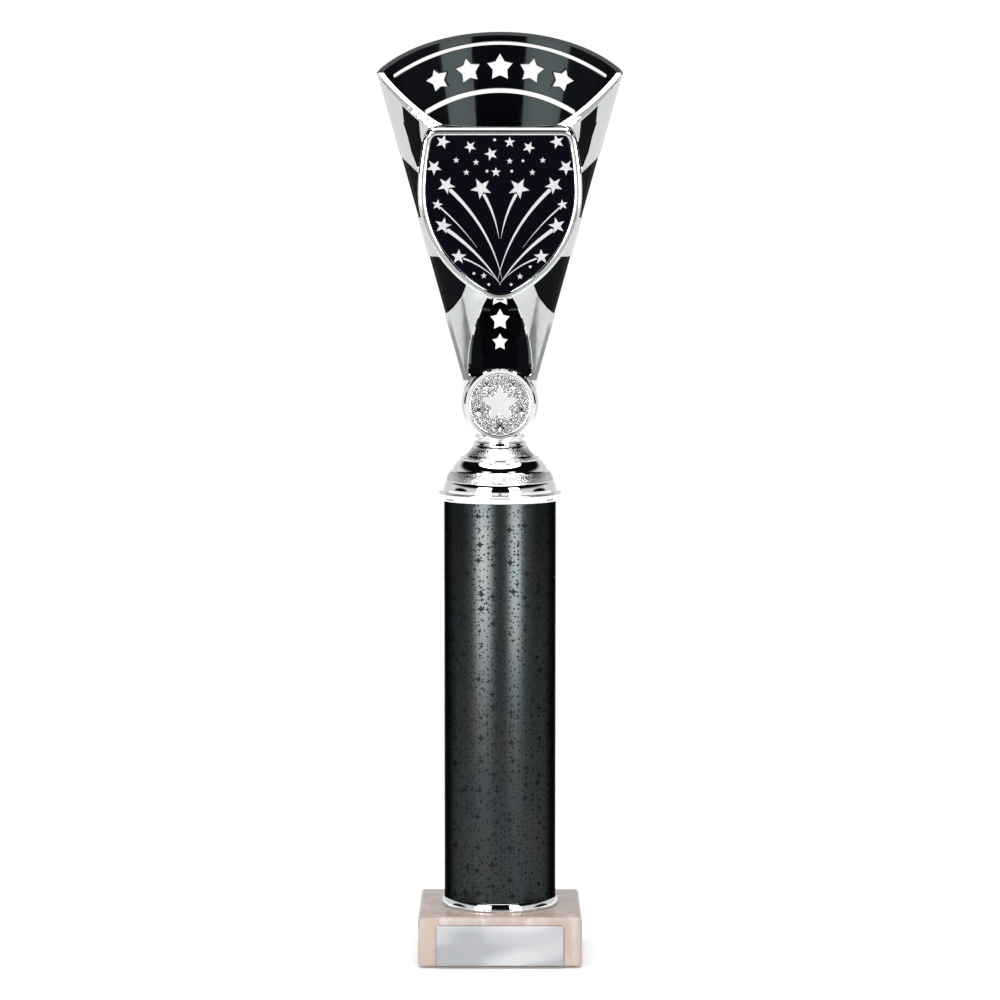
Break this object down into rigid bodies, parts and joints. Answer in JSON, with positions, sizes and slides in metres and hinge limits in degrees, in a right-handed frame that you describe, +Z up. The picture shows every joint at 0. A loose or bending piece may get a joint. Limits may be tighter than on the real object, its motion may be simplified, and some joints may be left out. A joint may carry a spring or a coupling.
{
  "type": "column trophy",
  "caption": "Fan-shaped cup with a shield, on a round foil-wrapped column and a square marble block with an engraving plate.",
  "frame": {"origin": "middle of the underside, on the surface that the trophy stands on", "axes": "+Z up along the column, -Y to the front, where the shield and the plate are, +X to the viewer's right"},
  "size_m": [0.0978, 0.0661, 0.3704],
  "materials": {
    "marble": "polished pink marble",
    "felt": "short pile felt",
    "plate": "bright silver engraving plate",
    "tape": "adhesive foam",
    "ring_chrome": "bright chrome",
    "card": "wound card",
    "star_foil": "black metallised film with a star pattern",
    "bung": "moulded plastic",
    "silver_plating": "chrome-plated plastic",
    "black_lacquer": "gloss black lacquer over plating",
    "disc": "bright embossed metal",
    "print": "black print with silver stars under a clear coat",
    "zinc_steel": "bright zinc-plated steel",
    "spring_steel": "dark spring steel",
    "brass": "turned brass"
  },
  "bodies": {
    "root": {"marble_base": "marble", "base_felt": "felt", "engraving_plate": "plate", "plate_tape": "tape", "bottom_ring": "ring_chrome", "tube_core": "card", "tube_foil": "star_foil", "lower_bung": "bung", "upper_bung": "bung", "top_collar": "ring_chrome", "riser_dome": "silver_plating", "centre_holder": "silver_plating", "centre_disc": "disc", "disc_pad": "tape", "cup_shell": "silver_plating", "cup_insert": "brass", "shield_frame": "silver_plating", "shield_label": "print", "label_tape": "tape", "shield_clips": "spring_steel", "tie_rod": "zinc_steel", "base_nut": "zinc_steel", "lock_washer": "spring_steel", "base_washer": "zinc_steel"}
  },
  "joints": []
}
